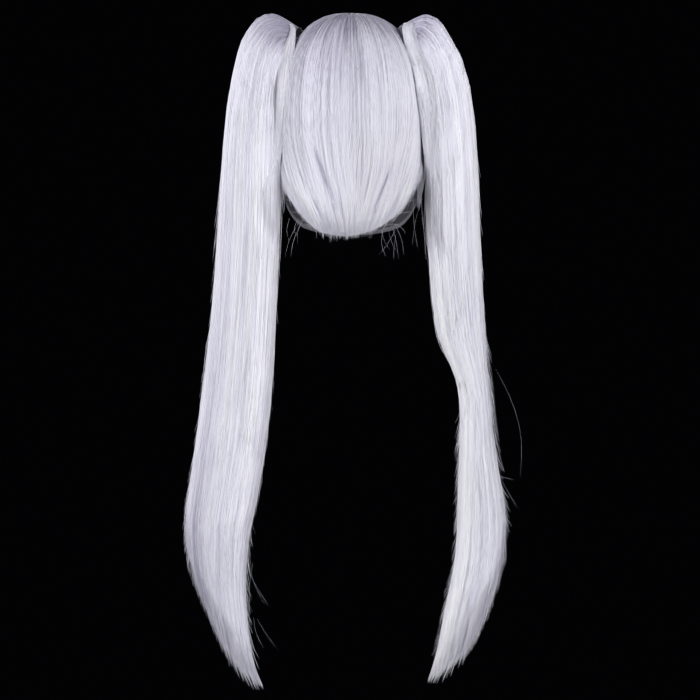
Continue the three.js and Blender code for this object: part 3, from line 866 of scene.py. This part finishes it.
def sleevePaths(tail, rng):
    # hair drawn over the tie into the tail
    side = tail["side"]
    count, steps = tailHair["sleeve"], 18
    turn = np.arange(count) / count * tau + rng.normal(0, 0.02, count)
    across, out = tailRoot["across"], tailRoot["out"]
    radial = np.stack([np.cos(turn) * across[0] * side, np.sin(turn), np.cos(turn) * across[1]], 1)
    outward = np.array([out[0] * side, 0, out[1]])
    centre = np.array([tailRoot["x"] * side, tailRoot["back"], tailRoot["z"]])
    swell = mix(tail["sleeve low"], tail["sleeve high"], 0.5 + 0.5 * np.cos(turn))[:, None]
    knots = [centre + row["out"] * outward + row["radius"] * swell * radial for row in sleeveRows]
    knots += [tailPoint(tail, turn, np.full(count, place), -0.0003) for place in (1.9, 2.9, 4.0)]
    paths = curveThrough(np.stack(knots), steps) + rng.normal(0, 0.0002, (count, 1, 3))
    if tail["window"]:
        low, high = tail["window"]
        shows = (np.degrees(turn) > low) & (np.degrees(turn) < high)
        paths, turn = paths[~shows], turn[~shows]
    tone = tailTone(tail, turn, 2.0) + rng.uniform(-0.15, 0.1, len(turn))
    thick = tapered(np.full(len(turn), 0.0004), steps)
    return {"paths": paths, "thick": thick, "tone": tone[:, None], "loose": 0.0}


def sidePaths(name, rng):
    tail = tails[name]
    count, steps = tailHair["side strands"], 24
    spread = rng.uniform(-1, 1, count)
    knots = []
    for row in sideRows[name]:
        across = spread + rng.normal(0, 0.05, count)
        offset = across * np.where(across > 0, row["out"], row["in"])
        x = tail["side"] * (row["x"] + offset)
        y = row["y"] + 0.35 * row["in"] * (1 - spread**2) - np.where(across > 0, tail["fall"], 0.6) * offset
        y = y + rng.normal(0, 0.0003, count)
        knots.append(np.stack([x, y, row["z"] + 0 * x], 1))
    # lower down they lie on the tail, and sink into it
    turn = pi * (0.8 - 0.17 * spread)
    for drop, lift in ((0.24, 0.0006), (0.29, 0.0), (0.36, -0.0016)):
        place = placeOfDrop(tail, drop + rng.normal(0, 0.004, count))
        knots.append(tailPoint(tail, turn, place, lift + rng.normal(0, 0.0002, count)))
    paths = curveThrough(np.stack(knots), steps)
    tone = 0.64 + 0.18 * drift(spread * 8 + 9, tail["seed"]) + rng.uniform(-0.18, 0.12, count)
    thick = tapered(np.full(count, tailHair["radius"]), steps)
    return {"paths": paths, "thick": thick, "tone": tone[:, None], "loose": 0.3}


def standingOff(name, row, rng):
    tail = tails[name]
    count, steps = row["count"], 8
    turn = radians(row["turn"]) + rng.normal(0, 0.14, count)
    begin = rng.uniform(row["from"], row["to"], count)
    stop = np.minimum(begin + row["long"] * rng.uniform(0.4, 1.3, count), 0.99)
    s = np.linspace(0, 1, steps)[None]
    drop = mix(begin[:, None], stop[:, None], s)
    # past the cut they keep to its edge
    edge = np.interp(drop, column(cutRows, name)[::-1], column(cutRows, "from")[::-1])
    inward = np.where(row["turn"] < 90, np.maximum(2 * edge - 1, 0.15), 1.0)
    lift = (-0.0004 + row["out"] * rng.uniform(0.2, 1.2, (count, 1)) * s**1.4) / inward
    thick = tapered(row["thick"] * rng.uniform(0.7, 1.3, count), steps)
    paths = tailPoint(tail, turn[:, None], placeOfDrop(tail, drop), lift, inward)
    return {"paths": paths, "thick": thick, "tone": 0.7, "loose": 1.0}


def makeTail(name):
    tail = tails[name]
    seed = tail["seed"]
    rng = np.random.default_rng(seed)

    # the combed body
    turns = np.linspace(0, tau, tailHair["body turns"], endpoint=False)
    end = placeOfDrop(tail, cutAt(name, acrossOf(turns)) - 0.03)
    share = np.linspace(0, 1, tailHair["body rings"])
    place = share[:, None] * end[None]
    depth = (-0.0009 + tailHair["relief"] * tailRelief(tail, turns[None], place)) * ease(place, 0, 4)
    thin = 1 - 0.93 * ease(share, 0.93, 1)[:, None]
    grid = tailPoint(tail, turns[None], place, depth)
    middle = tailPoint(tail, turns[None], place, 0.0, inward=0.0)
    grid[..., 1] = middle[..., 1] + (grid[..., 1] - middle[..., 1]) * thin
    back = 0.006
    root = np.array([tail["side"] * (tailRoot["x"] - back * tailRoot["out"][0]), tailRoot["back"],
                     tailRoot["z"] - back * tailRoot["out"][1]])
    points, faces = loft(grid, [root, grid[-1].mean(0)])
    # painted shade: the body is a little darker than the strands over it
    values = {
        "tone": loftValues(tailTone(tail, turns[None], place) - 0.1, place.shape),
        "across": loftValues(turns[None] * 0.025, place.shape),
        "along": loftValues(place * 0.15, place.shape),
    }
    body = meshFrom("pigtail_" + name + "_body", points, faces, values, combedBody)
    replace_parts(body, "pigtail_" + name)

    # long strands over it
    count, steps = tailHair["strands"], tailHair["steps"]
    turn = (np.arange(count) + rng.uniform(0, 1, count)) / count * tau
    finish = cutAt(name, acrossOf(turn)) - np.abs(rng.normal(0, 0.013, count))
    finish = finish - 0.006 * (1 + drift(turn * 14, seed + 5))
    last = placeOfDrop(tail, np.minimum(finish, 1.0))
    place = np.linspace(0, 1, steps)[None] * last[:, None]
    way = turn[:, None] + 0.03 * drift(place * 0.6 + turn[:, None] * 31, seed + 6) * ease(place, 1, 5)
    lift = tailHair["relief"] * tailRelief(tail, turn[:, None], place)
    lift = lift + rng.uniform(-1, 1, (count, 1)) * tailHair["scatter"]
    lift = (lift - 0.0004) * ease(place, 0, 3) - 0.0003
    tone = tailTone(tail, turn[:, None], place) + rng.uniform(-0.08, 0.08, (count, 1))
    thick = tapered(tailHair["radius"] * rng.uniform(0.7, 1.3, count), steps)
    paths = tailPoint(tail, way, place, lift)
    bundle = {"paths": paths, "thick": thick, "tone": tone, "loose": ease(place, 4, 12)}
    strandPiece("pigtail_" + name + "_strands", [bundle], wander=tailHair["wander"], seed=float(seed))

    # short ones that fill the cut end
    count, steps = tailHair["ends"], 9
    turn = rng.uniform(0, tau, count)
    inward = 0.98 * np.sqrt(rng.uniform(0, 1, count))
    across = (1 + (acrossOf(turn) * 2 - 1) * inward) / 2
    finish = cutAt(name, across) - np.abs(rng.normal(0, 0.011, count))
    finish = finish + 0.016 * (rng.uniform(0, 1, count) > 0.9)
    begin = finish - rng.uniform(0.1, 0.2, count)
    drop = np.minimum(mix(begin[:, None], finish[:, None], np.linspace(0, 1, steps)[None]), 1.0)
    place = placeOfDrop(tail, drop)
    tone = tailTone(tail, turn[:, None], place) + rng.uniform(-0.14, 0.1, (count, 1))
    thick = tapered(tailHair["radius"] * rng.uniform(0.5, 0.95, count), steps)
    paths = tailPoint(tail, turn[:, None], place, -0.0006, inward[:, None])
    bundles = [{"paths": paths, "thick": thick, "tone": tone}]
    bundles += [sleevePaths(tail, rng), sidePaths(name, rng)]
    bundles += [standingOff(name, row, rng) for row in flyaways[name]]

    # and loose ones all round
    count, steps = tailHair["loose"], 14
    turn = rng.uniform(0, tau, count)
    begin = rng.uniform(0.08, 0.7, count)
    stop = np.minimum(begin + rng.uniform(0.08, 0.22, count), cutAt(name, acrossOf(turn)) - 0.01)
    s = np.linspace(0, 1, steps)[None]
    place = placeOfDrop(tail, mix(begin[:, None], stop[:, None], s))
    lift = -0.0005 + rng.uniform(0.0004, 0.0022, (count, 1)) * np.sin(s * pi)
    thick = tapered(0.00014 * rng.uniform(0.8, 1.3, count), steps)
    paths = tailPoint(tail, turn[:, None], place, lift)
    bundles.append({"paths": paths, "thick": thick, "tone": 0.8, "loose": 2.0})
    strandPiece("pigtail_" + name + "_ends", bundles, wander=tailHair["wander"], seed=float(seed))


def makeStrays():
    rng = np.random.default_rng(31)
    bundles, steps = [], 12
    s = np.linspace(0, 1, steps)[None, :, None]
    for row in strays:
        count = row["count"]
        start = np.array(row["start"]) + rng.normal(0, 0.007, (count, 3)) * (1, 0.5, 0.6)
        end = np.array(row["end"]) + rng.normal(0, 0.010, (count, 3)) * (1, 0.5, 1)
        paths = mix(start[:, None], end[:, None], s)
        paths[..., 0] += row["bow"] * np.sin(s[..., 0] * pi) * rng.uniform(0.4, 1.4, (count, 1))
        thick = tapered(rng.uniform(0.00004, 0.00008, count), steps)
        bundles.append({"paths": paths, "thick": thick, "tone": 0.5})
    strandPiece("stray_hairs", bundles, wander=0.0015, seed=9.0)


for tailName in tails:
    makeTail(tailName)
makeStrays()
print("tails made")

# fringe and side locks, in locks that lie on the crown hair

lockShape = {"lift": 0.0009, "full": 0.32, "taper": 5, "tip thin": 0.85, "tip narrow": 0.62}
fringe = {
    "width": 0.0225, "thick": 0.005, "drop": 0.128, "start": 0.2, "lean": 0.08,
    "strands": 96, "radius": 0.0004,
}
fringeLocks = records(
    "turn tip",
    (-56, 1.12),
    (-46, 0.98),
    (-36, 0.92),
    (-26, 0.96),
    (-15.5, 0.9),
    (-5, 0.95),
    (5.5, 0.89),
    (16, 0.95),
    (26, 0.91),
    (36.5, 1),
    (46, 0.95),
    (56, 1.1),
)
sideLocks = {
    "width": 0.017, "thick": 0.006, "drop": 0.205, "start": 0.34, "lean": 0.0,
    "strands": 110, "radius": 0.00036,
}
templeLocks = [{"turn": 64, "tip": 0.8}, {"turn": 71, "tip": 1}, {"turn": 78, "tip": 0.9}]


def lockPath(row, sizes, turnTo, s, side, rise):
    # side: across the lock, -1 to 1. rise: from its underside to its outside, -1 to 1
    turn = turnTo(radians(row["turn"]))
    level = mix(sizes["start"], levelOfDrop(row["tip"] * sizes["drop"]), s)
    ending = np.clip(s, 0, 1) ** lockShape["taper"]
    swell = ease(s, 0, lockShape["full"]) * (1 - ending * lockShape["tip thin"])
    narrow = (1 - ending * lockShape["tip narrow"]) * mix(0.75, 1, ease(s, 0, 0.4))
    lift = lockShape["lift"] * ease(s, 0, 0.15) - 0.0007 * (1 - ease(s, 0, 0.2))
    lift = lift + sizes["thick"] * swell * (0.5 + 0.5 * rise)
    radius = 0.085 * np.sin(np.minimum(level, 1) * pi / 2) ** 0.8
    here = turn + sizes["lean"] * radians(row["turn"]) * s + side * sizes["width"] / 2 * narrow / radius
    return hairPoint(here, level, lift)


def makeLocks(name, rows, sizes, turnTo, seed):
    rng = np.random.default_rng(seed)
    points, faces, offset = [], [], 0
    values = {"tone": [], "across": [], "along": []}
    bundles = []
    for number, row in enumerate(rows):
        around = np.linspace(0, tau, 14, endpoint=False)[None]
        s = np.linspace(0.02, 0.86, 22)[:, None]
        close = 1 - 0.7 * ease(s, 0.7, 0.86)
        grid = lockPath(row, sizes, turnTo, s, 0.9 * np.cos(around) * close, 0.75 * np.sin(around) * close)
        some, skin = loft(grid, [grid[0].mean(0), grid[-1].mean(0)], offset)
        points.append(some)
        faces.append(skin)
        offset += len(some)
        shape = grid.shape[:2]
        # painted shade: the body is darker than the strands over it
        tone = 0.4 + 0.1 * drift(around * 2 + number * 9, seed) + 0.1 * ease(s, 0, 0.35)
        values["tone"].append(loftValues(tone, shape))
        values["across"].append(loftValues(np.cos(around) * 0.01 + number * 0.3, shape))
        values["along"].append(loftValues(s, shape))
        count, steps = sizes["strands"], 19
        side = rng.uniform(-1.12, 1.12, count)
        over = np.where(rng.uniform(0, 1, count) < 0.72, 1.0, -1.0)
        rise = over * np.sqrt(np.maximum(1 - side**2, 0)) * rng.uniform(0.7, 1.1, count)
        # the tips make a few points within each lock
        tuft = 0.5 + 0.5 * drift(side * 2.6 + number * 17 + 5, seed + 2)
        reach = 1.02 - 0.1 * np.abs(side) - 0.1 * tuft - np.abs(rng.normal(0, 0.03, count))
        begin = rng.uniform(0, 0.22, (count, 1)) * (rng.uniform(0, 1, (count, 1)) < 0.75)
        s = mix(begin, reach[:, None], np.linspace(0, 1, steps)[None])
        swing = side[:, None] + 0.25 * drift(side * 3 + number * 7, seed + 3)[:, None] * ease(s, 0.4, 1)
        path = lockPath(row, sizes, turnTo, s, swing, rise[:, None])
        tone = 0.62 + 0.14 * ripple(side[:, None] * 4 + number * 20, s * 2.5, seed + 1)
        tone = tone + rng.uniform(-0.1, 0.1, (count, 1)) - 0.14 * (1 - ease(s, 0, 0.35))
        thick = tapered(sizes["radius"] * rng.uniform(0.6, 1.2, count), steps, tip=0.15)
        bundles.append({"paths": path, "thick": thick, "tone": tone})
    values = {key: np.concatenate(parts) for key, parts in values.items()}
    body = meshFrom(name + "_body", np.concatenate(points), np.concatenate(faces), values, combedBody)
    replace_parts(body, name)
    strandPiece(name + "_strands", bundles, wander=0.002, seed=float(seed))


makeLocks("fringe", fringeLocks, fringe, lambda turn: pi + turn, 41)
makeLocks("side_lock_left", templeLocks, sideLocks, lambda turn: pi - turn, 42)
makeLocks("side_lock_right", templeLocks, sideLocks, lambda turn: pi + turn, 43)
print("fringe and side locks made")

# cap, its elastic edge and the ties

cap = {
    "wall": 0.0016,
    "band wall": 0.002,
    "band height": 0.005,
    "net": (0.055, 0.054, 0.066, 1),
    "weft": (0.15, 0.146, 0.17, 1),
    "mesh": 260.0,  # holes in a metre, both ways
    "wefts": 9.0,
    "turns": 180,
    "rings": 40,
    "band turns": 480,
    "ribs": 450.0,  # in a metre
    "band dark": (0.05, 0.049, 0.06, 1),
    "band light": (0.19, 0.186, 0.215, 1),
}
capTurnScale = 0.08  # metres to a radian round the rim
capLevelScale = 0.105  # metres to a level


def netMaterial():
    material, shader, start = newMaterial("net", Roughness=0.75, Specular_IOR_Level=0.25)
    across = attribute(start, "across")
    along = attribute(start, "along")
    rise = along * capLevelScale
    one = (across + rise).wave(cap["mesh"])
    two = (across - rise).wave(cap["mesh"])
    hole = start.math("MINIMUM", one, two).between(0.3, 0.42)
    weft = along.wave(cap["wefts"]).between(0.9, 0.95)
    solid = start.math("MAXIMUM", 1.0 - hole, weft)
    start.plug(shader.inputs["Base Color"], weft.colors(cap["net"], cap["weft"]))
    start.plug(shader.inputs["Alpha"], solid)
    return material


def bandMaterial():
    material, shader, start = newMaterial("elastic", Roughness=0.7, Specular_IOR_Level=0.3)
    rib = attribute(start, "across").wave(cap["ribs"])
    cross = attribute(start, "along").wave(2.5)
    cloth = rib * 0.6 + cross * 0.4
    start.plug(shader.inputs["Base Color"], cloth.colors(cap["band dark"], cap["band light"]))
    start.plug(shader.inputs["Normal"], cloth.bumps(0.7, 0.0005))
    return material


tie = {"dark": (0.012, 0.011, 0.014, 1), "light": (0.05, 0.048, 0.055, 1), "threads": 13.0}


def tieMaterial():
    material, shader, start = newMaterial("tie", Roughness=0.6, Specular_IOR_Level=0.3)
    rib = (attribute(start, "across") * tie["threads"] + attribute(start, "along")).wave(1.5)
    start.plug(shader.inputs["Base Color"], rib.colors(tie["dark"], tie["light"]))
    start.plug(shader.inputs["Normal"], rib.bumps(0.6, 0.0003))
    return material


def makeCap():
    rings = cap["rings"]
    turns = np.linspace(-pi, pi, cap["turns"], endpoint=False)
    end = endLevel(turns, rimLine, plain, up=-cap["band height"] - 0.0003)
    share = np.concatenate([np.linspace(0.03, 1, rings), np.linspace(1, 0.03, rings)])
    level = share[:, None] * end[None]
    over = np.where(np.arange(2 * rings) < rings, cap["wall"], 0.0)[:, None]
    grid = headPoint(turns[None], level, over, over, over)
    points, faces = loft(grid, [(0, 0, cap["wall"]), (0, 0, 0)])
    values = {
        "across": loftValues(turns[None] * capTurnScale, level.shape),
        "along": loftValues(level, level.shape),
    }
    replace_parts(meshFrom("cap_net", points, faces, values, netMaterial()), "cap")


def makeBand():
    turns = np.linspace(-pi, pi, cap["band turns"], endpoint=False)
    low = endLevel(turns, rimLine, plain)
    high = endLevel(turns, rimLine, plain, up=-cap["band height"])
    around = np.linspace(0, tau, 12, endpoint=False)[:, None]
    up = 0.5 + 0.5 * bowed(np.sin(around), 0.5)
    thick = 0.5 + 0.5 * bowed(np.cos(around), 0.5)
    level = mix(low[None], high[None], up)
    over = cap["band wall"] * thick + 0.00015 * np.sin(turns * 150)[None]
    grid = headPoint(turns[None], level, over, over, over)
    points, faces = loft(grid)
    values = {
        "across": loftValues(turns[None] * capTurnScale, level.shape, poles=False),
        "along": loftValues(up, level.shape, poles=False),
    }
    piece = meshFrom("cap_edge", points, faces, values, bandMaterial())
    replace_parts(piece, "cap_band")


tieWraps = records(
    "along radius wire",
    (-0.0012, 0.01, 0.0011),
    (0.0012, 0.0101, 0.0011),
    (0.0, 0.0112, 0.0009),
)


def makeTie(name, material):
    side = tails[name]["side"]
    across = np.array([tailRoot["across"][0] * side, 0, tailRoot["across"][1]])
    outward = np.array([tailRoot["out"][0] * side, 0, tailRoot["out"][1]])
    centre = np.array([tailRoot["x"] * side, tailRoot["back"], tailRoot["z"]])
    points, faces, offset = [], [], 0
    values = {"across": [], "along": []}
    a = np.linspace(0, tau, 56, endpoint=False)[:, None]
    b = np.linspace(0, tau, 12, endpoint=False)[None]
    for wrap in tieWraps:
        radius = wrap["radius"] + wrap["wire"] * np.cos(b)
        height = wrap["along"] + wrap["wire"] * np.sin(b) + 0.0003 * np.sin(a * 2 + wrap["along"] * 900)
        grid = centre + (radius * np.cos(a))[..., None] * across + height[..., None] * outward
        grid = grid + (radius * np.sin(a))[..., None] * np.array([0, 1.0, 0])
        some, skin = loft(grid, None, offset)
        points.append(some)
        faces.append(skin)
        offset += len(some)
        values["across"].append(loftValues(a, grid.shape[:2], poles=False))
        values["along"].append(loftValues(b / tau, grid.shape[:2], poles=False))
    values = {key: np.concatenate(parts) for key, parts in values.items()}
    name = "tie_" + name
    piece = meshFrom(name + "_wraps", np.concatenate(points), np.concatenate(faces), values, material)
    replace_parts(piece, name)


makeCap()
makeBand()
elastic = tieMaterial()
for tailName in tails:
    makeTie(tailName, elastic)
print("cap and ties made")

# floor, light and camera, at the photograph's viewing angle

studio = {
    "floor": -1.03,
    "floor radius": 0.5,
    "floor color": (0.5, 0.5, 0.52, 1),
    "world": (0.0008, 0.0008, 0.0012, 1),
    "aim": (0, 0, -0.3),
    "lens": 75,  # millimetres, on a sensor of 36
    "camera": (0.0011, 1.6052, -0.071),
    "camera turn": (80, 0, 180),
}
lamps = records(
    "name place size power",
    ("key", (-1.1, 1.9, 0.25), 1.3, 32.0),
    ("fill", (1.2, 1.8, 0.1), 1.3, 33.0),
    ("rim_left", (1.7, -0.3, 0.4), 1.0, 18.0),
    ("rim_right", (-1.7, -0.3, 0.4), 1.0, 18.0),
    ("front", (0.5, -2.0, 0.4), 1.4, 40.0),
)


def makeFloor():
    turns = np.linspace(0, tau, 96, endpoint=False)
    radius = studio["floor radius"]
    ring = np.stack([np.cos(turns) * radius, np.sin(turns) * radius, 0 * turns + studio["floor"]], 1)
    mesh = bpy.data.meshes.new("floor")
    mesh.from_pydata(ring.tolist(), [], [list(range(96))])
    mesh.materials.append(newMaterial("floor", color=studio["floor color"], Roughness=0.7)[0])
    piece = bpy.data.objects.new("floor", mesh)
    scene.collection.objects.link(piece)


def makeLight(row):
    light = bpy.data.lights.new(row["name"], "AREA")
    light.shape = "DISK"
    light.size = row["size"]
    light.energy = row["power"]
    lamp = bpy.data.objects.new(row["name"], light)
    lamp.location = row["place"]
    lamp.rotation_euler = (Vector(row["place"]) - Vector(studio["aim"])).to_track_quat("Z", "Y").to_euler()
    scene.collection.objects.link(lamp)


world = bpy.data.worlds.new("studio")
world.use_nodes = True
world.node_tree.nodes["Background"].inputs["Color"].default_value = studio["world"]
scene.world = world
makeFloor()
for row in lamps:
    makeLight(row)

camera = bpy.data.cameras.new("camera")
camera.lens = studio["lens"]
camera.sensor_width = 36
view = bpy.data.objects.new("camera", camera)
view.location = studio["camera"]
view.rotation_euler = [radians(angle) for angle in studio["camera turn"]]
scene.collection.objects.link(view)
scene.camera = view
scene.view_settings.view_transform = "Standard"
